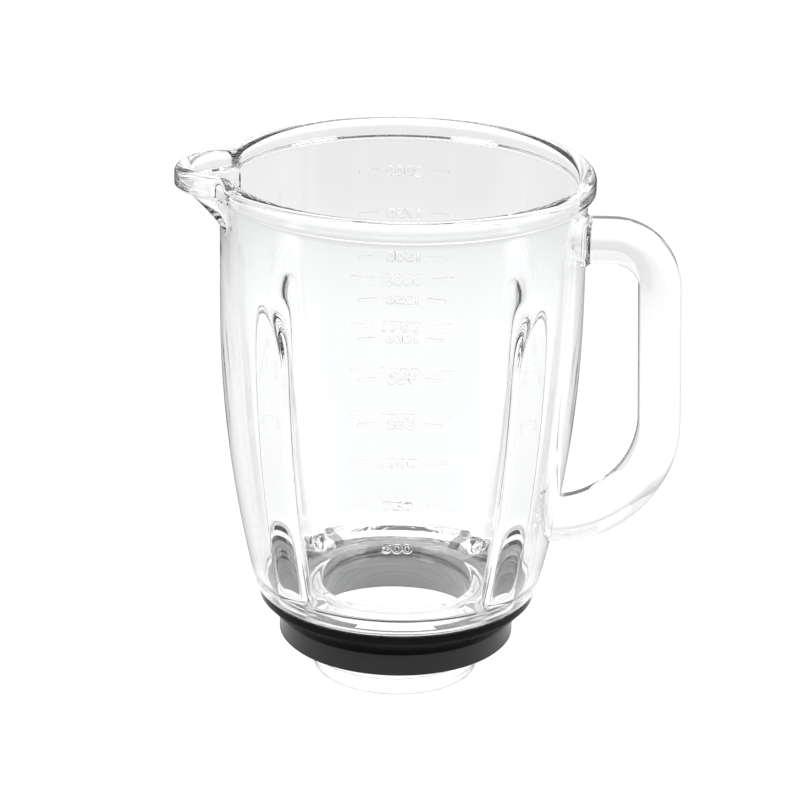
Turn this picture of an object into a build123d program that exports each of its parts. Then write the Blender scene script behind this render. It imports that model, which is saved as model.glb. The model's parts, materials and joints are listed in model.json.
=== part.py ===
"""A glass blender jar: a pressed glass goblet with a pouring spout, a loop handle and four inner ribs,
and the black collar ring that sits under its shoulder round the open neck."""

import os
from math import asin, cos, degrees, radians, sqrt, tan

from build123d import *

# Driving dimensions, in millimetres. The origin is on the jar's axis, in the plane of the neck's end.
# The spout points along -X and the handle along +X.

# Glass body
jar_height = 217.5        # neck end to the top of the rim
body_radius = 73.8        # outside of the straight upper body
base_radius = 58.8        # outside of the body where it meets the shoulder
barrel_height = 160.0     # height at which the straight body starts to curve in
wall = 4.0                # glass thickness of the body
base_corner = 3.0         # rounding of the body's lower outside corner

# Shoulder and neck
shoulder_height = 37.5    # underside of the shoulder, which is the collar's seat
shoulder_thickness = 3.5
floor_corner = 6.0        # rounding between the inside wall and the floor
neck_radius = 34.5
neck_wall = 4.0
neck_corner = 3.0         # rounding between the neck and the shoulder, outside and in
neck_lip = 1.6            # rounding of the neck's end

# Rim bead
bead_proud = 3.2          # how far the bead stands out from the body
bead_height = 8.0
bead_round = 3.4          # rounding of the rim's top edges
bead_corner = 1.2         # chamfer under the bead
mouth_depth = 37.5        # straight mouth for a lid's plug, above the ribs

# Pouring spout
nose_centre = 68.6        # distance of the spout's round nose from the jar's axis
nose_radius = 23.5        # outside of the nose at the rim
nose_blend = 8.0          # rounding in plan between the nose and the rim
spout_run = 19.0          # how far the spout's underside slants in towards the body
spout_fall = 16.5         # and how far it falls on the way
spout_step = 1.5          # how far the bead stands out from the spout's underside

# Inside ribs
rib_count = 4
rib_first_angle = 45.0
rib_rise = 34.0           # length over which a rib rises out of the wall to its full depth
rib_depth = 8.3           # how far its crest stands in from the wall
rib_flank = 48.0          # slope of its flanks
rib_crest = 2.5           # rounding of the crest

# Handle, given by its centre line
handle_drop = 29.0        # how far the upper arm lies below the rim's top
handle_bottom = 66.5      # height of the lower arm
reach_top = 103.5         # distance of the upper corner from the axis
reach_bottom = 108.7      # distance of the lower corner
bend_top = 20.0
bend_bottom = 44.0
grip_depth = 17.0         # section in the handle's plane
grip_width = 22.0         # section across it
grip_corner = 6.5
handle_blend = 2.5        # rounding at the handle's roots

# Collar
collar_radius = 57.4      # outside of the collar's top edge
collar_wall = 2.4
flange_radius = 50.0      # inside of the flange under the shoulder
band_height = 3.5         # upright band below the top edge
skirt_top = 25.4          # height at which the cone ends and the skirt starts
skirt_bottom = 15.8
skirt_radius = 48.9
skirt_step = 0.5          # ledge between the cone's foot and the skirt
collar_edge = 0.6         # chamfer of the collar's edges
mark_angle = 34.5         # angle of the turning marks from the jar's front and back
mark_height = 31.0
mark_size = 2.0           # from the middle of a mark to its corner
mark_depth = 0.8

# Worked out from the driving dimensions
inner_radius = body_radius - wall
bore_radius = neck_radius - neck_wall
floor_height = shoulder_height + shoulder_thickness
floor_radius = base_radius - wall
rim_radius = body_radius + bead_proud
rim_width = rim_radius - inner_radius
bead_bottom = jar_height - bead_height
mouth_bottom = jar_height - mouth_depth
wall_step = inner_radius - floor_radius
wall_arc = (wall_step**2 + (mouth_bottom - floor_height) ** 2) / (2 * wall_step)
rib_arc = wall_arc - rib_depth
rib_start = degrees(asin(rib_rise / rib_arc))
rib_end = degrees(asin((mouth_bottom - shoulder_height) / rib_arc))
rib_ridge = rib_crest * (1 / cos(radians(rib_flank)) - 1)
rib_foot = rib_depth + wall
rib_spread = (rib_foot + rib_ridge) / tan(radians(rib_flank))
handle_top = jar_height - handle_drop
spout_slant = Vector(spout_run, 0, -spout_fall)
cone_top = shoulder_height - band_height
cone_run = collar_radius - skirt_radius - skirt_step
cone_fall = cone_top - skirt_top
mark_radius = collar_radius - cone_run * (cone_top - mark_height) / cone_fall
past = 1.0                # how far a cutting body runs past the face that it opens

os.makedirs("parts", exist_ok=True)


def spout_outline(circle_radius, nose, blend):
    """Plan outline of the rim with its spout: a circle and a round nose, with an arc blending the two."""
    to_circle = circle_radius + blend
    to_nose = nose + blend
    blend_x = -(to_circle**2 - to_nose**2 + nose_centre**2) / (2 * nose_centre)
    blend_centre = Vector(blend_x, sqrt(to_circle**2 - blend_x**2))
    nose_middle = Vector(-nose_centre, 0)
    on_circle = blend_centre * (circle_radius / to_circle)
    on_nose = nose_middle + (blend_centre - nose_middle) * (nose / to_nose)
    with BuildSketch() as plan:
        with BuildLine():
            nose_arc = TangentArc((-nose_centre - nose, 0), on_nose, tangent=(0, 1))
            blend_arc = TangentArc(on_nose, on_circle, tangent=nose_arc % 1)
            TangentArc(on_circle, (circle_radius, 0), tangent=blend_arc % 1)
            mirror(about=Plane.XZ)
        make_face()
    return plan.sketch


def spout_half(outline):
    """The spout's side of an outline, which slants down to make the spout."""
    with BuildSketch() as half:
        add(outline)
        with Locations((-nose_centre / 2, 0)):
            Rectangle(2 * rim_radius, 2 * rim_radius, align=(Align.MAX, Align.CENTER), mode=Mode.INTERSECT)
    return half.sketch


def corners_at(side_view, height):
    """The corners of a side view at a height, from the axis outwards."""
    return side_view.vertices().filter_by_position(Axis.Y, height - past, height + past).sort_by(Axis.X)


outer_outline = spout_outline(rim_radius, nose_radius, nose_blend)
under_outline = spout_outline(body_radius, nose_radius - spout_step, nose_blend)
mouth_outline = spout_outline(inner_radius, nose_radius - rim_width, nose_blend + rim_width)

# Rim bead, with its edges rounded
with BuildPart() as bead:
    with BuildSketch(Plane.XY.offset(bead_bottom)):
        add(outer_outline)
    extrude(amount=bead_height)
    fillet(bead.faces().sort_by(Axis.Z)[-1].edges(), bead_round)
    chamfer(bead.faces().sort_by(Axis.Z)[0].edges(), bead_corner)

# Handle: a rounded bar carried along a bent line, with its ends in the wall
with BuildPart() as handle:
    with BuildLine(Plane.XZ) as handle_line:
        FilletPolyline(
            (inner_radius - wall, handle_top),
            (reach_top, handle_top),
            (reach_bottom, handle_bottom),
            (floor_radius, handle_bottom),
            radius=[bend_top, bend_bottom],
        )
    handle_root = Plane(origin=handle_line.line @ 0, x_dir=(0, 1, 0), z_dir=handle_line.line % 0)
    with BuildSketch(handle_root):
        RectangleRounded(grip_width, grip_depth, grip_corner)
    sweep()

# Rib: a rounded ridge carried down the inside wall, with its upper end sunk into the wall
with BuildPart() as rib:
    with BuildLine(Plane.XZ):
        crest = CenterArc((inner_radius - wall_arc, mouth_bottom), rib_arc, -rib_end, rib_end - rib_start)
        TangentArc(crest @ 1, (inner_radius + past, mouth_bottom), tangent=crest % 1)
    with BuildSketch(Plane(origin=crest @ 0, x_dir=(0, 1, 0), z_dir=crest % 0)) as rib_section:
        with BuildLine():
            Polyline((-rib_spread, -rib_foot), (0, rib_ridge), (rib_spread, -rib_foot), close=True)
        make_face()
        fillet(rib_section.vertices().sort_by(Axis.Y)[-1], rib_crest)
    sweep()

# Cavity: what the plunger leaves open inside the glass
with BuildPart() as cavity:
    with BuildSketch(Plane.XZ) as cavity_side:
        with BuildLine():
            inside = TangentArc((inner_radius, mouth_bottom), (floor_radius, floor_height), tangent=(0, -1))
            Polyline(
                (inner_radius, mouth_bottom),
                (inner_radius, jar_height + past),
                (0, jar_height + past),
                (0, -past),
                (bore_radius, -past),
                (bore_radius, floor_height),
                inside @ 1,
            )
        make_face()
        fillet(corners_at(cavity_side, floor_height)[-1], floor_corner)
        fillet(corners_at(cavity_side, floor_height)[0], neck_corner)
    revolve(axis=Axis.Z)
    with PolarLocations(0, rib_count, start_angle=rib_first_angle):
        add(rib.part, mode=Mode.SUBTRACT)
    with BuildSketch(Plane.XY.offset(bead_bottom)):
        add(mouth_outline)
    extrude(amount=bead_height + past)
    with BuildSketch(Plane.XY.offset(bead_bottom)):
        add(spout_half(mouth_outline))
    extrude(amount=spout_slant.length, dir=spout_slant.normalized())

# Glass jar: the solid outside, less the cavity
with BuildPart() as glass_jar:
    with BuildSketch(Plane.XZ) as body_side:
        with BuildLine():
            barrel = TangentArc((body_radius, barrel_height), (base_radius, shoulder_height), tangent=(0, -1))
            Polyline(
                (body_radius, barrel_height),
                (body_radius, bead_bottom + past),
                (0, bead_bottom + past),
                (0, 0),
                (neck_radius, 0),
                (neck_radius, shoulder_height),
                barrel @ 1,
            )
        make_face()
        fillet(corners_at(body_side, shoulder_height)[-1], base_corner)
        fillet(corners_at(body_side, shoulder_height)[0], neck_corner)
        fillet(corners_at(body_side, 0)[-1], neck_lip)
    revolve(axis=Axis.Z)
    add(handle.part)
    fillet(glass_jar.edges(Select.NEW), handle_blend)
    with BuildSketch(Plane.XY.offset(bead_bottom)):
        add(spout_half(under_outline))
    extrude(amount=spout_slant.length, dir=spout_slant.normalized())
    add(bead.part)
    add(cavity.part, mode=Mode.SUBTRACT)
    mouth_edges = glass_jar.faces().filter_by(Axis.Z).sort_by(Axis.Z)[-1].inner_wires()[0].edges()
    fillet(mouth_edges, bead_round)

# Collar: a thin ring with a flange under the shoulder, a cone and an upright skirt
with BuildPart() as base_collar:
    with BuildSketch(Plane.XZ) as collar_side:
        with BuildLine():
            Polyline(
                (flange_radius, shoulder_height),
                (collar_radius, shoulder_height),
                (collar_radius, cone_top),
                (skirt_radius + skirt_step, skirt_top),
                (skirt_radius, skirt_top),
                (skirt_radius, skirt_bottom),
                (skirt_radius - collar_wall, skirt_bottom),
                (skirt_radius - collar_wall, skirt_top + skirt_step),
                (collar_radius - collar_wall, shoulder_height - collar_wall),
                (flange_radius, shoulder_height - collar_wall),
                close=True,
            )
        make_face()
    revolve(axis=Axis.Z)
    ends = base_collar.edges().filter_by_position(Axis.Z, skirt_bottom - past, skirt_bottom + past)
    top_edge = base_collar.edges().filter_by_position(Axis.Z, shoulder_height - past, shoulder_height + past)
    chamfer(ends + top_edge.sort_by(SortBy.RADIUS)[-1:], collar_edge)
    for angle in (-90 - mark_angle, -90 + mark_angle, 90 - mark_angle, 90 + mark_angle):
        outward = Vector(1, 0, 0).rotate(Axis.Z, angle)
        face_normal = outward * cone_fall + Vector(0, 0, -cone_run)
        mark_plane = Plane(
            origin=outward * mark_radius + Vector(0, 0, mark_height),
            x_dir=Vector(0, 0, 1).cross(outward),
            z_dir=face_normal,
        )
        with BuildSketch(mark_plane):
            RegularPolygon(mark_size, 3, rotation=90)
        extrude(amount=-mark_depth, mode=Mode.SUBTRACT)

glass_jar.part.label = "glass_jar"
base_collar.part.label = "base_collar"
export_step(glass_jar.part, "parts/glass_jar.step")
export_step(base_collar.part, "parts/base_collar.step")
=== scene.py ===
# %% [markdown]
# # A glass blender jar
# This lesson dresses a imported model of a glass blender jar: one pressed glass piece with a spout, a loop
# handle, four inner ribs and an open neck, and the black collar ring under its shoulder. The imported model
# is loaded first and stays fixed. Everything below is in metres, in that model's own frame: +Z is up, the
# handle points along +X and the spout along -X.

# %% The frame
import json
from functools import partial
from math import asin, atan2, cos, degrees, pi, radians, sin, sqrt, tan

import bmesh
import bpy
import numpy as np
from mathutils import Matrix, Vector


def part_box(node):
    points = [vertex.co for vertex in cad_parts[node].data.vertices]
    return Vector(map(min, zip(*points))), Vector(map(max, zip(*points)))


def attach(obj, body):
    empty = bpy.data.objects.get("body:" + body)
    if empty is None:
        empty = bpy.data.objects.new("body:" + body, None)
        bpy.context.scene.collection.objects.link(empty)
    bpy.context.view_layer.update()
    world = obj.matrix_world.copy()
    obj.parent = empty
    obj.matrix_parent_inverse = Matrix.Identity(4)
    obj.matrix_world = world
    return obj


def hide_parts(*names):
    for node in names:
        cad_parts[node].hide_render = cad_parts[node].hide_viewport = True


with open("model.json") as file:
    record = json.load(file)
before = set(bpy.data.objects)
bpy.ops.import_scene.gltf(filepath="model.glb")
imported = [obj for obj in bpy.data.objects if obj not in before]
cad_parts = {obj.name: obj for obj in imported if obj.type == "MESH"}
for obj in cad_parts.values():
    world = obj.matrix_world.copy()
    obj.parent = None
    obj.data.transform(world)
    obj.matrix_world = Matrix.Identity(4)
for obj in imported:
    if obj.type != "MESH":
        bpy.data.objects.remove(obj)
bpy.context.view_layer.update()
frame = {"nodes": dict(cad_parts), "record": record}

mm = 0.001
scene = bpy.context.scene
mounts = {m["name"]: m["dims"] for m in frame["record"]["mounts"]}
jar_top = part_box("glass_jar")[1].z
collar_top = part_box("base_collar")[1].z
bore_radius = mounts["neck_bore"]["r_mm"] * mm
neck_radius = mounts["neck_outside"]["r_mm"] * mm
mouth_radius = mounts["mouth"]["r_mm"] * mm
print("nodes:", sorted(frame["nodes"]), "jar height in mm:", round(jar_top / mm, 1))

# %% [markdown]
# ## The camera
# The view is settled before anything else, because it decides which details show. The jar was seen from a
# little over a metre away with a long lens, about 21 degrees above the table and very slightly tilted.
# Blender's camera looks along its own -Z, so it is first pitched up from straight down and then rolled
# about its own axis.

# %% Camera
camera_place = Vector((0.0, -1200.55, 572.23)) * mm
camera_pitch = radians(20.731)
camera_roll = radians(1.123)
camera_data = bpy.data.cameras.new("camera")
camera_data.sensor_width = 36.0
camera_data.lens = 140.55
camera = bpy.data.objects.new("camera", camera_data)
scene.collection.objects.link(camera)
turn = Matrix.Rotation(pi / 2 - camera_pitch, 4, "X") @ Matrix.Rotation(camera_roll, 4, "Z")
camera.matrix_world = Matrix.Translation(camera_place) @ turn
scene.camera = camera
print("camera distance in mm:", round(camera_place.length / mm))

# %% [markdown]
# ## The glass wall's section
# Pressed glass is thick, and every look that it has comes from how light bends at its two surfaces. So the
# jar is one closed skin: up the outside, over the rim, down the inside and out through the neck. The
# section is a list of rows, each with a radius and a height, and round stretches are arcs. Each row also
# says how much of the spout, of the ribs and of the neck's thread it carries.

# %% Section helpers
rows = []


def add_row(radius, height, **shares):
    """One ring of the skin; shares say how far it follows the spout, its drop, the ribs and the thread."""
    rows.append({"r": radius, "z": height, "spout": 0.0, "drop": 0.0, "rib": 0.0, "thread": 0.0, **shares})


def no_share(r, z):
    """A plain row, which follows none of them."""
    return {}


def line_rows(start, end, count, shares=no_share):
    """Rows along a straight stretch, without its last point."""
    for t in np.linspace(0, 1, count, endpoint=False):
        r = start[0] + (end[0] - start[0]) * t
        z = start[1] + (end[1] - start[1]) * t
        add_row(r, z, **shares(r, z))


def arc_rows(centre, radius, first, last, count, shares=no_share):
    """Rows along an arc, its angles in degrees from the outward direction, without its last point."""
    for a in np.radians(np.linspace(first, last, count, endpoint=False)):
        r = centre[0] + radius * cos(a)
        z = centre[1] + radius * sin(a)
        add_row(r, z, **shares(r, z))


def wall_rows(radius_at, low, high, count, shares=no_share):
    """Rows along the curved wall between two heights, without the last."""
    for z in np.linspace(low, high, count, endpoint=False):
        add_row(radius_at(z), z, **shares(radius_at(z), z))


def wall_arc(top_radius, top_height, foot_radius, foot_height):
    """Centre and radius of the arc that leaves the straight wall at its top and ends at the foot."""
    fall = top_height - foot_height
    step = top_radius - foot_radius
    radius = (step**2 + fall**2) / (2 * step)
    return top_radius - radius, radius


# %% [markdown]
# The body is a barrel: straight under the rim and then an arc down to the shoulder, inside as well as
# outside. The floor is thin and slopes down to the neck, and small arcs join it to the wall and to the
# bore.

# %% Section sizes
body_radius = 73.8 * mm
base_radius = 58.8 * mm
base_wall = 4.0 * mm
barrel_height = 160.0 * mm
base_corner = 3.0 * mm
shoulder_gap = 0.08 * mm
floor_thickness = 2.8 * mm
floor_corner = 3.5 * mm
floor_slope = radians(9.0)
neck_corner = 3.0 * mm
neck_fillet = 5.5 * mm
neck_lip = 1.6 * mm
bore_edge = 0.7 * mm
bead_radius = 77.0 * mm
bead_height = 8.0 * mm
bead_round = 3.4 * mm
bead_corner = 1.2 * mm
bead_fillet = bead_radius - bead_corner - body_radius
mouth_depth = 37.5 * mm
rib_rise = 34.0 * mm
shoulder_height = collar_top + shoulder_gap
floor_height = shoulder_height + floor_thickness
floor_radius = base_radius - base_wall
bead_bottom = jar_top - bead_height
mouth_bottom = jar_top - mouth_depth
lip_height = jar_top - bead_round
barrel_centre, barrel_arc = wall_arc(body_radius, barrel_height, base_radius, shoulder_height)
inside_centre, inside_arc = wall_arc(mouth_radius, mouth_bottom, floor_radius, floor_height)
print("wall arcs in mm, outside and inside:", round(barrel_arc / mm), round(inside_arc / mm))


def barrel_radius(height):
    """Outside radius of the body at a height."""
    fall = max(barrel_height - height, 0.0)
    return barrel_centre + sqrt(barrel_arc**2 - fall**2)


def inside_radius(height):
    """Inside radius of the body at a height, between the ribs."""
    fall = max(mouth_bottom - height, 0.0)
    return inside_centre + sqrt(inside_arc**2 - fall**2)


# %% Corners of base and floor
foot_z = shoulder_height + base_corner
foot_end = -asin((barrel_height - foot_z) / (barrel_arc - base_corner))
foot_r = barrel_centre + (barrel_arc - base_corner) * cos(foot_end)
slope_angle = degrees(floor_slope)
floor_inner = bore_radius + neck_corner * (1 - sin(floor_slope))
floor_low = floor_height - neck_corner * (1 - cos(floor_slope))
# the corner touches both the wall's arc and the sloping floor, so its centre is found by turns
corner_z = floor_height + floor_corner
for _ in range(20):
    corner_r = inside_centre + sqrt((inside_arc - floor_corner) ** 2 - (mouth_bottom - corner_z) ** 2)
    corner_z = floor_low + (corner_r - floor_inner) * tan(floor_slope) + floor_corner / cos(floor_slope)
corner_start = -asin((mouth_bottom - corner_z) / (inside_arc - floor_corner))
corner_top = corner_z + floor_corner * sin(corner_start)
floor_outer = corner_r + floor_corner * sin(floor_slope)
floor_high = corner_z - floor_corner * cos(floor_slope)
print("floor heights in mm, at neck and wall:", round(floor_low / mm, 1), round(floor_high / mm, 1))

# %% [markdown]
# The spout starts under the bead: from a height called its foot the skin leaves the round body and slants
# out to the nose. The ribs rise out of the inside wall below the straight mouth and run down to the floor.

# %% Shares of the rows
spout_foot = 193.5 * mm
channel_foot = 195.5 * mm
channel_top = 209.0 * mm
spout_ease = 0.25
drop_ease = 0.05
thread_low = 3.0 * mm
thread_high = 17.0 * mm
thread_fade = 3.0 * mm


def clamp(value):
    """A value kept between 0 and 1."""
    return min(max(value, 0.0), 1.0)


def ramp(value, low, high, ease):
    """From 0 at low to 1 at high, with a soft start over the first share of the way."""
    t = clamp((value - low) / (high - low))
    rise = t * t / (2 * ease) if t < ease else t - ease / 2
    return rise / (1 - ease / 2)


def thread_share(r, z):
    return {"thread": clamp(min(z - thread_low, thread_high - z) / thread_fade)}


def spout_share(r, z):
    return {
        "spout": ramp(z, spout_foot, bead_bottom, spout_ease),
        "drop": ramp(z, spout_foot, bead_bottom, drop_ease),
    }


def bead_share(r, z):
    return {"spout": 1.0, "drop": clamp((lip_height - z) / (lip_height - bead_bottom))}


def channel_share(r, z):
    return {"spout": ramp(z, channel_foot, channel_top, spout_ease)}


def rib_share(r, z):
    return {"rib": sin(0.5 * pi * min((mouth_bottom - z) / rib_rise, 1.0)) ** 2}


def floor_share(r, z):
    return {"rib": clamp((r - floor_inner) / (floor_outer - floor_inner))}


# %% Section rows
# outside, from the neck's end up to the rim
arc_rows((bore_radius + bore_edge, bore_edge), bore_edge, 180, 270, 4)
line_rows((bore_radius + bore_edge, 0), (neck_radius - neck_lip, 0), 3)
arc_rows((neck_radius - neck_lip, neck_lip), neck_lip, -90, 0, 6)
line_rows((neck_radius, neck_lip), (neck_radius, thread_low), 2)
line_rows((neck_radius, thread_low), (neck_radius, thread_high), 26, thread_share)
line_rows((neck_radius, thread_high), (neck_radius, shoulder_height - neck_fillet), 4)
arc_rows((neck_radius + neck_fillet, shoulder_height - neck_fillet), neck_fillet, 180, 90, 9)
line_rows((neck_radius + neck_fillet, shoulder_height), (foot_r, shoulder_height), 4)
arc_rows((foot_r, foot_z), base_corner, -90, degrees(foot_end), 8)
wall_rows(barrel_radius, foot_z + base_corner * sin(foot_end), spout_foot, 24)
wall_rows(barrel_radius, spout_foot, bead_bottom - bead_fillet, 10, spout_share)
arc_rows((body_radius + bead_fillet, bead_bottom - bead_fillet), bead_fillet, 180, 90, 6, spout_share)
arc_rows((bead_radius - bead_corner, bead_bottom + bead_corner), bead_corner, -90, 0, 4, bead_share)
line_rows((bead_radius, bead_bottom + bead_corner), (bead_radius, lip_height), 4, bead_share)
arc_rows((bead_radius - bead_round, lip_height), bead_round, 0, 90, 9, bead_share)
arc_rows((mouth_radius + bead_round, lip_height), bead_round, 90, 180, 9, bead_share)
# inside, from the rim down to the neck
line_rows((mouth_radius, lip_height), (mouth_radius, channel_top), 3, channel_share)
wall_rows(inside_radius, channel_top, channel_foot, 12, channel_share)
wall_rows(inside_radius, channel_foot, mouth_bottom, 5)
wall_rows(inside_radius, mouth_bottom, mouth_bottom - rib_rise, 16, rib_share)
wall_rows(inside_radius, mouth_bottom - rib_rise, corner_top, 20, rib_share)
arc_rows((corner_r, corner_z), floor_corner, degrees(corner_start), slope_angle - 90, 8, rib_share)
line_rows((floor_outer, floor_high), (floor_inner, floor_low), 7, floor_share)
arc_rows((bore_radius + neck_corner, floor_height - neck_corner), neck_corner, 90 + slope_angle, 180, 8)
line_rows((bore_radius, floor_height - neck_corner), (bore_radius, bore_edge), 5)
print("rows of the section:", len(rows))

# %% [markdown]
# ## The rim's outline and the spout
# Seen from above, the rim is a circle with a round nose on it, and a small arc blends the two. The skin's
# columns are placed along that outline, close together where a rib or the nose needs them. Each column
# knows its point on the outline, which way is out there, the angle at which it comes down on the round
# body, and its share of the nose.

# %% Outline of the rim
nose_centre = Vector((-68.6, 0.0)) * mm
nose_radius = 23.5 * mm
nose_blend = 8.0 * mm
to_circle = bead_radius + nose_blend
to_nose = nose_radius + nose_blend
blend_x = -(to_circle**2 - to_nose**2 + nose_centre.length_squared) / (2 * nose_centre.length)
blend_centre = Vector((blend_x, sqrt(to_circle**2 - blend_x**2)))
nose_end = atan2(blend_centre.y, blend_centre.x - nose_centre.x)
blend_first = atan2(-blend_centre.y, nose_centre.x - blend_centre.x)
blend_last = atan2(-blend_centre.y, -blend_centre.x)
circle_first = atan2(blend_centre.y, blend_centre.x)
nose_length = nose_radius * (pi - nose_end)
spout_length = nose_length + nose_blend * (blend_last - blend_first)
print("half of the spout's outline in mm:", round(spout_length / mm, 1))


def unit(angle):
    """The direction at an angle."""
    return Vector((cos(angle), sin(angle)))


# %% Outline columns
nose_columns, blend_columns = 26, 10
rib_count = 4
rib_first = radians(45.0)
fine_step, coarse_step, rib_zone = radians(0.5), radians(1.8), radians(11.0)
half = []


def add_spout_column(on_rim, outward, travel):
    """A column of the spout's half, by its way along the outline from the nose's tip."""
    angle = pi - (pi - circle_first) * travel / spout_length
    half.append((on_rim, outward, angle, 1 - travel / spout_length))


for a in np.linspace(pi, nose_end, nose_columns, endpoint=False):
    add_spout_column(nose_centre + unit(a) * nose_radius, unit(a), nose_radius * (pi - a))
for a in np.linspace(blend_first, blend_last, blend_columns, endpoint=False):
    travel = nose_length + nose_blend * (a - blend_first)
    add_spout_column(blend_centre + unit(a) * nose_blend, -unit(a), travel)
a = circle_first
while a > coarse_step / 2:
    half.append((unit(a) * bead_radius, unit(a), a, 0.0))
    to_rib = min(abs(a - rib_first), abs(a - rib_first - pi / 2))
    a -= fine_step if to_rib < rib_zone else coarse_step
half.append((unit(0.0) * bead_radius, unit(0.0), 0.0, 0.0))
mirrored = [(Vector((p.x, -p.y)), Vector((n.x, -n.y)), -a, s) for p, n, a, s in half[-2:0:-1]]
outline = half + mirrored
print("columns round the jar:", len(outline))

# %% [markdown]
# ## The pressed skin
# Rows and columns make a grid that closes on itself both ways. A row that follows the spout takes its
# points from the outline, moved in by the row's own depth, and a row that doesn't takes them from a circle.
# In between, the two are mixed, and that mix is the spout.

# %% Skin mesh
nose_drop = 0.5 * mm
nose_spread = 2.2
points = []
shares = {"rib_share": [], "thread_share": []}
for row in rows:
    inset = bead_radius - row["r"]
    for on_rim, outward, angle, nose in outline:
        round_place = unit(angle) * row["r"]
        spout_place = on_rim - outward * inset
        place = round_place.lerp(spout_place, row["spout"])
        near_nose = min(nose_spread * nose, 1.0)
        dip = nose_drop * row["drop"] * near_nose**2 * (3 - 2 * near_nose)
        points.append((place.x, place.y, row["z"] - dip))
        shares["rib_share"].append(row["rib"])
        shares["thread_share"].append(row["thread"])
across = len(outline)
quads = []
for i in range(len(rows)):
    here, above = i * across, (i + 1) % len(rows) * across
    for j in range(across):
        beside = (j + 1) % across
        quads.append((here + j, here + beside, above + beside, above + j))


def new_piece(name, points, faces):
    """A new mesh object in the scene, from its points and faces."""
    mesh = bpy.data.meshes.new(name)
    mesh.from_pydata([tuple(p) for p in points], [], faces)
    piece = bpy.data.objects.new(name, mesh)
    scene.collection.objects.link(piece)
    return piece


skin = new_piece("glass_skin", points, quads)
for name, values in shares.items():
    skin.data.attributes.new(name, "FLOAT", "POINT").data.foreach_set("value", values)
print("skin faces:", len(skin.data.polygons))

# %% [markdown]
# ## Ribs and thread by Geometry Nodes
# The four ribs and the neck's screw thread are relief pressed into the same skin, so they are made by
# moving its points rather than by adding pieces, which would leave false surfaces inside the glass. A rib
# is a rounded swell that depends on how far a point lies from the nearest rib's plane, and a thread is a
# wave that climbs with the angle. One node tree does both, with its sizes as named inputs.

# %% Node helpers
def feed(tree, socket, value):
    """Links another node's output to a socket, or sets a plain value on it."""
    if isinstance(value, bpy.types.NodeSocket):
        tree.links.new(value, socket)
    else:
        socket.default_value = value


def maths(tree, operation, *values):
    """A Math node, given its operation and inputs; returns its output."""
    node = tree.nodes.new("ShaderNodeMath")
    node.operation = operation
    for socket, value in zip(node.inputs, values):
        feed(tree, socket, value)
    return node.outputs[0]


def vector(tree, x, y, z):
    """A Combine XYZ node; returns its vector."""
    node = tree.nodes.new("ShaderNodeCombineXYZ")
    for socket, value in zip(node.inputs, (x, y, z)):
        feed(tree, socket, value)
    return node.outputs[0]


def parts_of(tree, place):
    """A Separate XYZ node; returns the three parts of a vector."""
    node = tree.nodes.new("ShaderNodeSeparateXYZ")
    tree.links.new(place, node.inputs[0])
    return node.outputs


def axis_distance(tree, east, north):
    """How far a point lies from the jar's axis."""
    squares = maths(tree, "POWER", east, 2.0), maths(tree, "POWER", north, 2.0)
    return maths(tree, "SQRT", maths(tree, "ADD", *squares))


# %% Tree helpers
def new_geometry_tree(name, counts, lengths):
    """A Geometry Nodes tree with geometry in and out, named counts and lengths, and a finish."""
    tree = bpy.data.node_groups.new(name, "GeometryNodeTree")
    tree.interface.new_socket("Geometry", in_out="INPUT", socket_type="NodeSocketGeometry")
    for label in counts:
        tree.interface.new_socket(label, in_out="INPUT", socket_type="NodeSocketInt").default_value = 1
    for label in lengths:
        tree.interface.new_socket(label, in_out="INPUT", socket_type="NodeSocketFloat")
    tree.interface.new_socket("Finish", in_out="INPUT", socket_type="NodeSocketMaterial")
    tree.interface.new_socket("Geometry", in_out="OUTPUT", socket_type="NodeSocketGeometry")
    return tree


def stored(tree, name):
    """Reads a float attribute of the mesh by name."""
    node = tree.nodes.new("GeometryNodeInputNamedAttribute")
    node.data_type = "FLOAT"
    node.inputs["Name"].default_value = name
    return node.outputs["Attribute"]


def point_place(tree):
    """The three parts of each point's place."""
    return parts_of(tree, tree.nodes.new("GeometryNodeInputPosition").outputs[0])


def pass_through(tree, kind, geometry, **values):
    """A node that takes a geometry and gives one, with its other inputs by label."""
    node = tree.nodes.new(kind)
    tree.links.new(geometry, node.inputs["Geometry"])
    for label, value in values.items():
        feed(tree, node.inputs[label], value)
    return node.outputs["Geometry"]


def end_tree(tree, geometry, material):
    """Ends a tree in Realize Instances and Set Material."""
    real = pass_through(tree, "GeometryNodeRealizeInstances", geometry)
    finished = pass_through(tree, "GeometryNodeSetMaterial", real, Material=material)
    tree.links.new(finished, tree.nodes.new("NodeGroupOutput").inputs["Geometry"])


def make_mesh(obj):
    """Turns an object with its modifiers into a plain mesh and removes the modifiers."""
    bpy.context.view_layer.update()
    solved = obj.evaluated_get(bpy.context.evaluated_depsgraph_get())
    mesh = bpy.data.meshes.new_from_object(solved)
    mesh.name = obj.name
    obj.modifiers.clear()
    obj.data = mesh


def use_tree(obj, tree, **values):
    """Adds the tree to an object, with input values by label, and turns the result into a plain mesh."""
    modifier = obj.modifiers.new(tree.name, "NODES")
    modifier.node_group = tree
    for item in tree.interface.items_tree:
        label = item.name.lower().replace(" ", "_")
        if item.in_out == "INPUT" and label in values:
            modifier[item.identifier] = values[label]
    make_mesh(obj)


# %% Relief tree
relief = new_geometry_tree(
    "pressed_relief",
    ["Rib Count"],
    ["First Rib", "Rib Depth", "Rib Half Width", "Thread Height", "Thread Pitch"],
)
given = relief.nodes.new("NodeGroupInput").outputs
rib_maths = partial(maths, relief)


def swell(phase):
    """A wave from 0 to 1, highest where its phase is 0."""
    return rib_maths("MULTIPLY_ADD", rib_maths("COSINE", phase), 0.5, 0.5)


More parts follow.
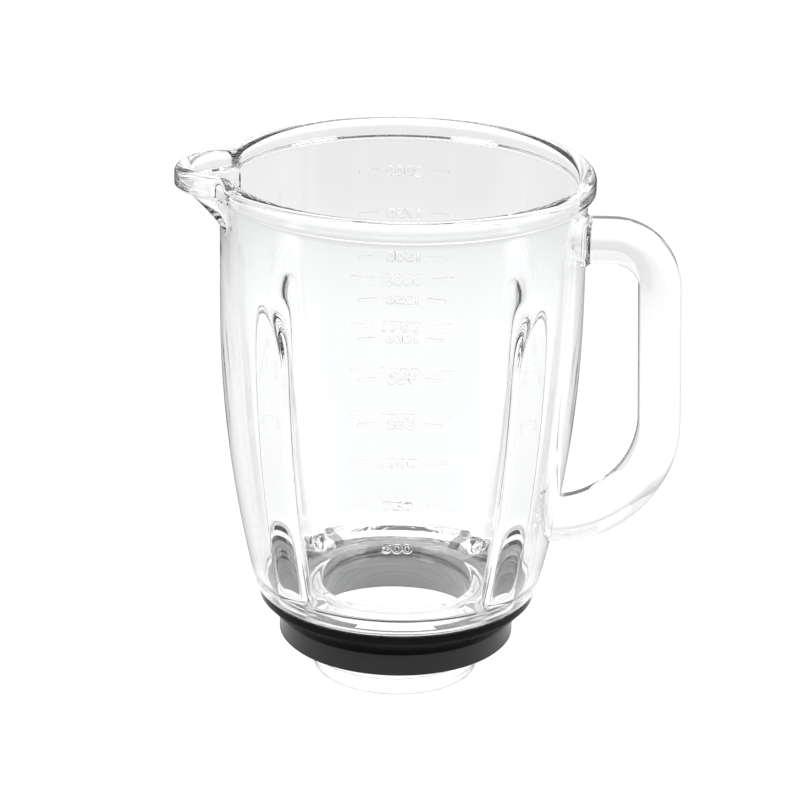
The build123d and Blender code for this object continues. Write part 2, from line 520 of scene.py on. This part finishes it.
east, north, height = point_place(relief)
radius = axis_distance(relief, east, north)
angle = rib_maths("ARCTAN2", north, east)
period = rib_maths("DIVIDE", 2 * pi, given["Rib Count"])
half_period = rib_maths("MULTIPLY", period, 0.5)
rib_turn = rib_maths("SUBTRACT", angle, given["First Rib"])
from_rib = rib_maths("WRAP", rib_turn, half_period, rib_maths("MULTIPLY", half_period, -1.0))
aside = rib_maths("MULTIPLY", radius, rib_maths("SINE", from_rib))
reach = rib_maths("DIVIDE", aside, given["Rib Half Width"])
nearness = rib_maths("MAXIMUM", rib_maths("MINIMUM", reach, 1.0), -1.0)
rib_swell = rib_maths("MULTIPLY", swell(rib_maths("MULTIPLY", nearness, pi)), given["Rib Depth"])
rib_in = rib_maths("MULTIPLY", rib_swell, stored(relief, "rib_share"))
threads_up = rib_maths("DIVIDE", height, given["Thread Pitch"])
climb = rib_maths("SUBTRACT", threads_up, rib_maths("DIVIDE", angle, 2 * pi))
crest = rib_maths("POWER", swell(rib_maths("MULTIPLY", climb, 2 * pi)), 2.0)
thread_swell = rib_maths("MULTIPLY", crest, given["Thread Height"])
thread_out = rib_maths("MULTIPLY", thread_swell, stored(relief, "thread_share"))
out_by = rib_maths("DIVIDE", rib_maths("SUBTRACT", thread_out, rib_in), radius)
shift = vector(relief, rib_maths("MULTIPLY", east, out_by), rib_maths("MULTIPLY", north, out_by), 0.0)
pressed = pass_through(relief, "GeometryNodeSetPosition", given["Geometry"], Offset=shift)
end_tree(relief, pressed, given["Finish"])
print("nodes of the relief tree:", len(relief.nodes))

# %% Pressing the relief
glass = bpy.data.materials.new("clear_glass")
use_tree(
    skin,
    relief,
    rib_count=rib_count,
    first_rib=rib_first,
    rib_depth=8.3 * mm,
    rib_half_width=10.0 * mm,
    thread_height=1.2 * mm,
    thread_pitch=5.0 * mm,
    finish=glass,
)
print("relief pressed into", len(skin.data.vertices), "points")

# %% [markdown]
# ## The handle
# The handle is a rounded bar along a bent line: straight arms and a slightly leaning grip, with a tight
# bend above and a wide one below. Where it meets the wall, the bar flares out as a fillet does. A Boolean
# union then makes it one body with the skin, because glass pieces that only overlap would show their hidden
# ends.

# %% Handle path
handle_corners = [(66.0, 188.5), (103.5, 188.5), (108.7, 66.5), (54.8, 66.5)]
handle_bends = [20.0, 44.0]
path_step = 0.5 * mm
sparse_step = 6
bend_step = 3.0
root_zone = 11.0 * mm


def straight_run(first, last):
    """Points and direction of a straight stretch, close together near the wall and sparse away from it."""
    length = (last - first).length
    direction = (last - first).normalized()
    count = max(int(length / path_step), 2)
    run = []
    for k, t in enumerate(np.linspace(0, 1, count, endpoint=False)):
        p = first + direction * length * t
        if k % sparse_step == 0 or p.x - barrel_radius(p.y) < root_zone:
            run.append((p, direction))
    return run


def bend_run(centre, turn_by, arm):
    """Points and directions round a bend that starts at its centre plus an arm."""
    count = max(int(degrees(turn_by) / bend_step), 2)
    spokes = [Matrix.Rotation(-t, 2) @ arm for t in np.linspace(0, turn_by, count, endpoint=False)]
    return [(centre + spoke, Vector((spoke.y, -spoke.x)).normalized()) for spoke in spokes]


def bent_line(corners, bends):
    """Points and directions along a line with rounded corners, in the plane of the handle."""
    corners = [Vector(c) * mm for c in corners]
    line = []
    start = corners[0]
    for before, corner, after, bend in zip(corners, corners[1:], corners[2:], bends):
        bend = bend * mm
        into, out = (corner - before).normalized(), (after - corner).normalized()
        turn_by = into.angle(out)
        cut = bend * tan(turn_by / 2)
        side = Vector((into.y, -into.x))
        line += straight_run(start, corner - into * cut)
        line += bend_run(corner - into * cut + side * bend, turn_by, -side * bend)
        start = corner + out * cut
    return line + straight_run(start, corners[-1])


whole_line = bent_line(handle_corners, handle_bends)
print("points along the handle's line:", len(whole_line))

# %% Handle mesh
grip_width = 22.0 * mm
grip_depth = 17.0 * mm
grip_corner = 6.5 * mm
corner_steps = 9
root_fillet = 2.6 * mm
root_left = 0.3 * mm
root_sink = 1.8 * mm


def rounded_section(width, depth, corner, steps):
    """Points round a rounded rectangle."""
    ring = []
    for quarter, (sx, sy) in enumerate(((1, 1), (-1, 1), (-1, -1), (1, -1))):
        centre = Vector((sx * (width / 2 - corner), sy * (depth / 2 - corner)))
        for t in np.linspace(0, pi / 2, steps):
            ring.append(centre + unit(quarter * pi / 2 + t) * corner)
    return ring


def on_handle(middle, direction, spread):
    """The place of a section's point, across the bar and out of its bend."""
    out_of_bend = Vector((direction.y, 0, -direction.x))
    return Vector((middle.x, 0, middle.y)) + Vector((0, 1, 0)) * spread.x + out_of_bend * spread.y


def flared(middle, direction, spread):
    """The place of a section's point, spread out by the fillet near the wall."""
    base = on_handle(middle, direction, spread)
    gap = sqrt(base.x**2 + base.y**2) - barrel_radius(base.z)
    if gap < root_fillet:
        reach = root_fillet - max(gap, root_left)
        spread = spread * (1 + (root_fillet - sqrt(root_fillet**2 - reach**2)) / spread.length)
    return on_handle(middle, direction, spread)


section = rounded_section(grip_width, grip_depth, grip_corner, corner_steps)
around = len(section)
handle_line = [(p, d) for p, d in whole_line if p.x > barrel_radius(p.y) - root_sink]
handle_points = [flared(p, d, q) for p, d in handle_line for q in section]
for v in handle_points[:around] + handle_points[-around:]:
    v.x = sqrt((barrel_radius(v.z) - root_sink) ** 2 - v.y**2)
handle_faces = []
for i in range(len(handle_line) - 1):
    here, ahead = i * around, (i + 1) * around
    for j in range(around):
        k = (j + 1) % around
        handle_faces.append((here + j, here + k, ahead + k, ahead + j))
handle_faces.append(tuple(range(around)))
handle_faces.append(tuple(reversed(range(len(handle_points) - around, len(handle_points)))))
handle = new_piece("handle", handle_points, handle_faces)
print("handle rings:", len(handle_line), "points each:", around)


# %% [markdown]
# Skin and handle are both closed shells, so a Boolean union can fuse them. Before each union the shell is
# tidied and its volume and open edges are printed: an open edge would let light into the glass without
# bending it.

# %% Joining the glass
def tidy_shell(mesh):
    """Merges doubles and turns all faces outwards."""
    shell = bmesh.new()
    shell.from_mesh(mesh)
    bmesh.ops.remove_doubles(shell, verts=shell.verts, dist=0.001 * mm)
    bmesh.ops.recalc_face_normals(shell, faces=shell.faces)
    open_edges = sum(not e.is_manifold for e in shell.edges)
    volume = round(shell.calc_volume(signed=True) * 1e6, 1)
    print(mesh.name, "volume in ml:", volume, "open edges:", open_edges)
    shell.to_mesh(mesh)
    shell.free()


def join_glass(target, addition):
    """Boolean union of an addition into the target, which becomes a plain mesh; the addition is removed."""
    tidy_shell(addition.data)
    union = target.modifiers.new("union", "BOOLEAN")
    union.operation = "UNION"
    union.solver = "MANIFOLD"
    union.object = addition
    make_mesh(target)
    bpy.data.objects.remove(addition)


tidy_shell(skin.data)
join_glass(skin, handle)

# %% [markdown]
# ## Graduations
# The jar is marked every quarter of a litre with plain numbers that stand a hair proud of the wall, a dash
# on each side, at the front and again at the back. The numbers are drawn flat with Blender's own font. A
# node tree then repeats the dashes, wraps everything on the curved wall and makes the second set, and a
# Boolean union fuses the marks with the glass.

# %% Graduation numbers
mark_first, mark_step = 80.5 * mm, 19.0 * mm
mark_labels = [str(millilitres) for millilitres in range(500, 2001, 250)]
digit_height = 4.8 * mm
label_stretch = 1.35
label_weight = 0.012
label_bevel = 0.035
mark_relief = 0.34 * mm
mark_sink = 0.6 * mm
edge_relief = 0.3


def label_solid(label, height):
    """Points and faces of a number's solid: x across, y outward from the wall, z up, centred at a height."""
    curve = bpy.data.curves.new("label", "FONT")
    curve.body = label
    curve.extrude = 0.1
    curve.offset = label_weight
    curve.bevel_depth = label_bevel
    curve.bevel_resolution = 1
    curve.resolution_u = 3
    text = bpy.data.objects.new("label", curve)
    scene.collection.objects.link(text)
    bpy.context.view_layer.update()
    mesh = bpy.data.meshes.new_from_object(text.evaluated_get(bpy.context.evaluated_depsgraph_get()))
    flat = np.array([tuple(v.co) for v in mesh.vertices])
    rounding = (flat[:, 2] - curve.extrude) / label_bevel
    proud = mark_relief * (edge_relief + (1 - edge_relief) * rounding)
    outward = np.where(flat[:, 2] > 0, proud, -mark_sink)
    low, high = flat.min(axis=0), flat.max(axis=0)
    flat = (flat - (low + high) / 2) * digit_height / (high[1] - low[1])
    faces = [tuple(face.vertices) for face in mesh.polygons]
    bpy.data.objects.remove(text)
    across, up = label_stretch * flat[:, 0], flat[:, 1] + height
    return list(zip(across, outward, up)), faces


label_points, label_faces = [], []
for step, label in enumerate(mark_labels):
    more_points, more_faces = label_solid(label, mark_first + step * mark_step)
    label_faces += [tuple(i + len(label_points) for i in face) for face in more_faces]
    label_points += more_points
marks = new_piece("graduations", label_points, label_faces)
tidy_shell(marks.data)
print("graduations:", ", ".join(mark_labels))

# %% [markdown]
# The tree first lays the marks out flat: a dash is a thin bar cut across so that it can bend, and two
# upright rows of points repeat it on both sides of the numbers. Then each point's x becomes an angle round
# the wall and its y a distance out of it.

# %% Graduation tree
graduations = new_geometry_tree(
    "graduations",
    ["Mark Count"],
    ["First Height", "Mark Step", "Dash Middle", "Dash Length", "Dash Width", "Relief", "Sink"]
    + ["Barrel Centre", "Barrel Arc", "Barrel Height"],
)
asked = graduations.nodes.new("NodeGroupInput").outputs
mark_maths = partial(maths, graduations)
dash_cuts = 9
dash_depth = mark_maths("ADD", asked["Relief"], asked["Sink"])
dash = graduations.nodes.new("GeometryNodeMeshCube")
dash.inputs["Vertices X"].default_value = dash_cuts
dash_size = vector(graduations, asked["Dash Length"], dash_depth, asked["Dash Width"])
graduations.links.new(dash_size, dash.inputs["Size"])
flat_marks = graduations.nodes.new("GeometryNodeJoinGeometry")
graduations.links.new(asked["Geometry"], flat_marks.inputs["Geometry"])
mid_depth = mark_maths("MULTIPLY", mark_maths("SUBTRACT", asked["Relief"], asked["Sink"]), 0.5)
mark_up = vector(graduations, 0.0, 0.0, asked["Mark Step"])
for side in (-1.0, 1.0):
    dash_x = mark_maths("MULTIPLY", asked["Dash Middle"], side)
    places = graduations.nodes.new("GeometryNodeMeshLine")
    repeat = graduations.nodes.new("GeometryNodeInstanceOnPoints")
    graduations.links.new(asked["Mark Count"], places.inputs["Count"])
    first_dash = vector(graduations, dash_x, mid_depth, asked["First Height"])
    graduations.links.new(first_dash, places.inputs["Start Location"])
    graduations.links.new(mark_up, places.inputs["Offset"])
    graduations.links.new(places.outputs["Mesh"], repeat.inputs["Points"])
    graduations.links.new(dash.outputs["Mesh"], repeat.inputs["Instance"])
    graduations.links.new(repeat.outputs["Instances"], flat_marks.inputs["Geometry"])
loose_marks = pass_through(graduations, "GeometryNodeRealizeInstances", flat_marks.outputs["Geometry"])
print("nodes that lay the marks out flat:", len(graduations.nodes))

# %% Wrapping the marks
along, outward, up = point_place(graduations)
fall = mark_maths("MAXIMUM", mark_maths("SUBTRACT", asked["Barrel Height"], up), 0.0)
arc_squared = mark_maths("POWER", asked["Barrel Arc"], 2.0)
rest_squared = mark_maths("SUBTRACT", arc_squared, mark_maths("POWER", fall, 2.0))
wall_radius = mark_maths("ADD", asked["Barrel Centre"], mark_maths("SQRT", rest_squared))
wrap_angle = mark_maths("DIVIDE", along, wall_radius)
wrap_radius = mark_maths("ADD", wall_radius, outward)
wrap_x = mark_maths("MULTIPLY", wrap_radius, mark_maths("SINE", wrap_angle))
wrap_y = mark_maths("MULTIPLY", wrap_radius, mark_maths("COSINE", wrap_angle))
front_place = vector(graduations, wrap_x, mark_maths("MULTIPLY", wrap_y, -1.0), up)
front = pass_through(graduations, "GeometryNodeSetPosition", loose_marks, Position=front_place)
back = pass_through(graduations, "GeometryNodeTransform", front, Rotation=(0.0, 0.0, pi))
both = graduations.nodes.new("GeometryNodeJoinGeometry")
graduations.links.new(front, both.inputs["Geometry"])
graduations.links.new(back, both.inputs["Geometry"])
end_tree(graduations, both.outputs["Geometry"], asked["Finish"])
use_tree(
    marks,
    graduations,
    mark_count=len(mark_labels),
    first_height=mark_first,
    mark_step=mark_step,
    dash_middle=15.5 * mm,
    dash_length=8.5 * mm,
    dash_width=1.4 * mm,
    relief=mark_relief,
    sink=mark_sink,
    barrel_centre=barrel_centre,
    barrel_arc=barrel_arc,
    barrel_height=barrel_height,
    finish=glass,
)
join_glass(skin, marks)
tidy_shell(skin.data)

# %% [markdown]
# Pressed glass has soft forms, so all faces are shaded smooth, apart from edges that turn sharply.

# %% Smooth shading
crease = radians(42.0)
for face in skin.data.polygons:
    face.use_smooth = True
skin.data.set_sharp_from_angle(angle=crease)
print("glass faces:", len(skin.data.polygons))

# %% [markdown]
# ## Clear glass
# The glass is colourless soda glass with an index of about 1.5 and a fire-polished surface, so nearly all
# of its look is bent and reflected surroundings. Real pressed glass is never quite even: slow ripples from
# the mould wave the lines seen through it. That unevenness is also found, much finer, on moulded plastic,
# so it is one node group with two scales, and each material takes its own values.

# %% Moulded surface group
def new_shader_group(name, inputs, outputs):
    """A shader node group with named float inputs (label, value) and float outputs."""
    group = bpy.data.node_groups.new(name, "ShaderNodeTree")
    for label, value in inputs:
        socket = group.interface.new_socket(label, in_out="INPUT", socket_type="NodeSocketFloat")
        socket.default_value = value
    for label in outputs:
        group.interface.new_socket(label, in_out="OUTPUT", socket_type="NodeSocketFloat")
    return group


moulded_scales = [("Grain Scale", 100.0), ("Ripple Scale", 20.0)]
moulded = new_shader_group("moulded_surface", moulded_scales, ["Grain", "Ripple"])
moulded_in = moulded.nodes.new("NodeGroupInput")
moulded_out = moulded.nodes.new("NodeGroupOutput")
moulded_at = moulded.nodes.new("ShaderNodeTexCoord")
for label, detail in (("Grain", 3.0), ("Ripple", 1.0)):
    noise = moulded.nodes.new("ShaderNodeTexNoise")
    noise.inputs["Detail"].default_value = detail
    moulded.links.new(moulded_at.outputs["Object"], noise.inputs["Vector"])
    moulded.links.new(moulded_in.outputs[label + " Scale"], noise.inputs["Scale"])
    moulded.links.new(noise.outputs["Fac"], moulded_out.inputs[label])
print("nodes of the moulded surface:", len(moulded.nodes))


def use_group(tree, group, **values):
    """Places a node group in a material with its own values, given by label."""
    node = tree.nodes.new("ShaderNodeGroup")
    node.node_tree = group
    for label, value in values.items():
        node.inputs[label.replace("_", " ").title()].default_value = value
    return node


def add_bump(tree, height, shader, depth):
    """A bump of a given depth in metres on a shader's normal."""
    bump = tree.nodes.new("ShaderNodeBump")
    bump.inputs["Distance"].default_value = depth
    tree.links.new(height, bump.inputs["Height"])
    tree.links.new(bump.outputs["Normal"], shader.inputs["Normal"])


# %% Glass material
ripple_depth = 0.12 * mm
light_bounces = 24
glass.use_nodes = True
glass_tree = glass.node_tree
glass_tree.nodes.clear()
clear = glass_tree.nodes.new("ShaderNodeBsdfPrincipled")
clear.inputs["Base Color"].default_value = (0.985, 0.99, 0.99, 1.0)
clear.inputs["Roughness"].default_value = 0.0
clear.inputs["IOR"].default_value = 1.5
clear.inputs["Transmission Weight"].default_value = 1.0
ripple = use_group(glass_tree, moulded, grain_scale=400.0, ripple_scale=28.0)
add_bump(glass_tree, ripple.outputs["Ripple"], clear, ripple_depth)
lit_through = glass_tree.nodes.new("ShaderNodeBsdfTransparent")
lit_through.inputs["Color"].default_value = (0.93, 0.93, 0.93, 1.0)
ray_kind = glass_tree.nodes.new("ShaderNodeLightPath")
glass_mix = glass_tree.nodes.new("ShaderNodeMixShader")
glass_end = glass_tree.nodes.new("ShaderNodeOutputMaterial")
glass_tree.links.new(ray_kind.outputs["Is Shadow Ray"], glass_mix.inputs["Fac"])
glass_tree.links.new(clear.outputs["BSDF"], glass_mix.inputs[1])
glass_tree.links.new(lit_through.outputs["BSDF"], glass_mix.inputs[2])
glass_tree.links.new(glass_mix.outputs["Shader"], glass_end.inputs["Surface"])
scene.cycles.max_bounces = light_bounces
scene.cycles.transmission_bounces = light_bounces
scene.cycles.glossy_bounces = light_bounces
print("glass index:", clear.inputs["IOR"].default_value)

# %% [markdown]
# ## Black collar
# The collar is a moulded ring of black plastic. Its shape is already right in the imported model, so its node
# stays and only gets a finish: a satin black whose gloss varies a little, with the fine grain of the mould.
# Its inside is painted paler, a painted light for the grey it shows through the glass floor, and the small
# recesses on its cone are painted pale, a painted highlight for the light they catch.

# %% Collar material
def fall_off(tree, value, start, end, before, after):
    """A smooth change from one level to another as a value goes from start to end."""
    node = tree.nodes.new("ShaderNodeMapRange")
    node.interpolation_type = "SMOOTHSTEP"
    feed(tree, node.inputs["Value"], value)
    for label, number in (("From Min", start), ("From Max", end), ("To Min", before), ("To Max", after)):
        feed(tree, node.inputs[label], number)
    return node.outputs["Result"]


def choose(tree, switch, off, on):
    """A level that is on where the switch is 1 and off where it is 0."""
    return fall_off(tree, switch, 0.0, 1.0, off, on)


outside_tone, painted_light_inside_tone, recess_highlight_tone = 0.006, 0.38, 0.4
inward_from, inward_to = -0.015, -0.005
gloss_least, gloss_more = 0.12, 0.12
grain_depth = 0.012 * mm
plastic = bpy.data.materials.new("black_plastic")
plastic.use_nodes = True
plastic_tree = plastic.node_tree
tone_maths = partial(maths, plastic_tree)
satin = plastic_tree.nodes["Principled BSDF"]
satin.inputs["Specular IOR Level"].default_value = 0.4
mould = use_group(plastic_tree, moulded, grain_scale=2600.0, ripple_scale=60.0)
plastic_at = plastic_tree.nodes.new("ShaderNodeTexCoord")
facing = plastic_tree.nodes.new("ShaderNodeVectorMath")
facing.operation = "DOT_PRODUCT"
plastic_tree.links.new(plastic_at.outputs["Object"], facing.inputs[0])
plastic_tree.links.new(plastic_at.outputs["Normal"], facing.inputs[1])
# painted light: faces that look inward are painted paler, standing in for the light seen there through the
# glass floor
tone = fall_off(plastic_tree, facing.outputs["Value"], inward_from, inward_to, painted_light_inside_tone, outside_tone)
gloss = tone_maths("MULTIPLY_ADD", mould.outputs["Ripple"], gloss_more, gloss_least)
plastic_tree.links.new(gloss, satin.inputs["Roughness"])
add_bump(plastic_tree, mould.outputs["Grain"], satin, grain_depth)
print("collar tones, outside and inside:", outside_tone, painted_light_inside_tone)

# %% Painted highlight in the recesses
mark_radius, mark_height, mark_reach = 54.61 * mm, 31.0 * mm, 2.6 * mm
cone_out, cone_down = 0.732, 0.681
paint_deepest, paint_deep = -1.5 * mm, -1.2 * mm
paint_high, paint_highest = -0.5 * mm, -0.3 * mm
east, north, height = parts_of(plastic_tree, plastic_at.outputs["Object"])
past_mark = tone_maths("SUBTRACT", axis_distance(plastic_tree, east, north), mark_radius)
up_part = tone_maths("SUBTRACT", height, mark_height)
over_cone = tone_maths("MULTIPLY_ADD", up_part, -cone_down, tone_maths("MULTIPLY", past_mark, cone_out))
under_cone = fall_off(plastic_tree, over_cone, paint_high, paint_highest, 1.0, 0.0)
not_too_deep = fall_off(plastic_tree, over_cone, paint_deepest, paint_deep, 0.0, 1.0)
near_mark = tone_maths("COMPARE", up_part, 0.0, mark_reach)
# painted highlight: the recesses' floors are painted pale for the light they catch
painted_recess_highlight = tone_maths("MULTIPLY", tone_maths("MULTIPLY", under_cone, not_too_deep), near_mark)
plastic_tree.links.new(tone_maths("MULTIPLY_ADD", painted_recess_highlight, recess_highlight_tone, tone), satin.inputs["Base Color"])
collar = bpy.data.objects["base_collar"]
for slot in collar.material_slots:
    slot.material = plastic
print("collar finishes:", [slot.material.name for slot in collar.material_slots])

# %% [markdown]
# ## Ground and light
# Clear glass needs a bright studio to be looked through and something darker to draw its edges. So the
# studio is white all round and dark only in front, and the ground is white round the jar and greyer far
# away, in front and at the left. In what the black collar mirrors, the ground is painted dark under the jar,
# a painted shadow, and white only in a narrow ring, a painted reflection that gives its skirt a sheen. The
# camera itself sees plain white.

# %% Studio world
open_level, front_level, soft_level = 1.0, 0.05, 0.3
dark_from, dark_to = -0.35, -0.1
world = bpy.data.worlds.new("studio")
world.use_nodes = True
scene.world = world
sky = world.node_tree
sky_background = sky.nodes["Background"]
sky_background.inputs["Color"].default_value = (1.0, 1.0, 1.0, 1.0)
sky_ray = sky.nodes.new("ShaderNodeLightPath").outputs
sky_y = parts_of(sky, sky.nodes.new("ShaderNodeTexCoord").outputs["Generated"])["Y"]
studio = fall_off(sky, sky_y, dark_from, dark_to, front_level, open_level)
seen_in_glass = maths(sky, "MAXIMUM", sky_ray["Is Glossy Ray"], sky_ray["Is Transmission Ray"])
light_level = choose(sky, seen_in_glass, soft_level, studio)
sky_level = choose(sky, sky_ray["Is Camera Ray"], light_level, open_level)
sky.links.new(sky_level, sky_background.inputs["Strength"])
print("studio levels, open, in front and soft:", open_level, front_level, soft_level)

# %% Ground
ground_size = 6.0
ground_gap = 0.2 * mm
ground_mesh = bpy.data.meshes.new("ground")
ground_disc = bmesh.new()
bmesh.ops.create_circle(ground_disc, cap_ends=True, segments=96, radius=ground_size)
ground_disc.to_mesh(ground_mesh)
ground_disc.free()
ground_mesh.transform(Matrix.Translation((0, 0, -ground_gap)))
ground = bpy.data.objects.new("ground", ground_mesh)
scene.collection.objects.link(ground)
paper = bpy.data.materials.new("ground_paper")
paper.use_nodes = True
ground_mesh.materials.append(paper)
paper_tree = paper.node_tree
paper_lit = paper_tree.nodes["Principled BSDF"]
paper_lit.inputs["Base Color"].default_value = (0.17, 0.17, 0.17, 1.0)
paper_lit.inputs["Roughness"].default_value = 0.9
paper_lit.inputs["Specular IOR Level"].default_value = 0.0
paper_lit.inputs["Emission Color"].default_value = (1.0, 1.0, 1.0, 1.0)
print("ground radius in m:", ground_size)

# %% Ground levels
near_level, far_level, camera_level, painted_shade_level = 1.0, 0.76, 0.95, 0.02
ground_front, ground_left = 0.4, 0.8
far_from, far_to = 0.4, 0.7
front_from, front_to = -0.3, -0.12
left_from, left_to = -0.4, -0.22
ring_from, ring_full, ring_fade, ring_end = 0.056, 0.08, 0.1, 0.125
paper_maths = partial(maths, paper_tree)
paper_level = partial(fall_off, paper_tree)
paper_at = paper_tree.nodes.new("ShaderNodeTexCoord").outputs["Object"]
paper_ray = paper_tree.nodes.new("ShaderNodeLightPath").outputs
paper_x, paper_y = parts_of(paper_tree, paper_at)[:2]
away = axis_distance(paper_tree, paper_x, paper_y)
in_front = paper_level(paper_y, front_from, front_to, ground_front, open_level)
on_left = paper_level(paper_x, left_from, left_to, ground_left, open_level)
through = paper_level(away, far_from, far_to, near_level, far_level)
through = paper_maths("MULTIPLY", through, paper_maths("MULTIPLY", in_front, on_left))
# in reflections the ground is painted: dark under the jar as a painted shadow, and bright in a narrow ring as
# a painted reflection that gives the collar's skirt its sheen
mirrored_shadow_and_sheen = paper_level(away, ring_from, ring_full, painted_shade_level, near_level)
beyond = paper_level(away, ring_fade, ring_end, open_level, painted_shade_level)
mirrored_shadow_and_sheen = paper_maths("MULTIPLY", mirrored_shadow_and_sheen, beyond)
mirrored_shadow_and_sheen = paper_maths("MULTIPLY", mirrored_shadow_and_sheen, paper_ray["Is Glossy Ray"])
glow = choose(paper_tree, paper_ray["Is Transmission Ray"], mirrored_shadow_and_sheen, through)
glow = choose(paper_tree, paper_ray["Is Camera Ray"], glow, camera_level)
paper_tree.links.new(glow, paper_lit.inputs["Emission Strength"])
print("ground levels, near and far:", near_level, far_level)

# %% [markdown]
# The lamps stand left, right and behind, all far enough away and large enough for soft light.

# %% Lamps
lamp_aim = Vector((0.0, 0.0, 0.1))


def soft_lamp(name, place, size, power):
    """A large soft lamp that looks at the middle of the jar."""
    data = bpy.data.lights.new(name, "AREA")
    data.shape = "DISK"
    data.size = size
    data.energy = power
    lamp = bpy.data.objects.new(name, data)
    scene.collection.objects.link(lamp)
    place = Vector(place)
    facing = (lamp_aim - place).to_track_quat("-Z", "Y").to_matrix().to_4x4()
    lamp.matrix_world = Matrix.Translation(place) @ facing


soft_lamp("lamp_left", (-1.1, -0.9, 1.3), 0.9, 9.0)
soft_lamp("lamp_right", (1.2, -0.5, 1.2), 0.8, 6.0)
soft_lamp("lamp_back", (0.1, 1.2, 1.4), 1.0, 6.0)
scene.view_settings.view_transform = "Standard"
print("lamps:", [light.name for light in bpy.data.lights])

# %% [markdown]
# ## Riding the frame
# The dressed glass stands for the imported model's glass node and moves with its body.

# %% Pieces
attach(skin, "root")
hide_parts("glass_jar")
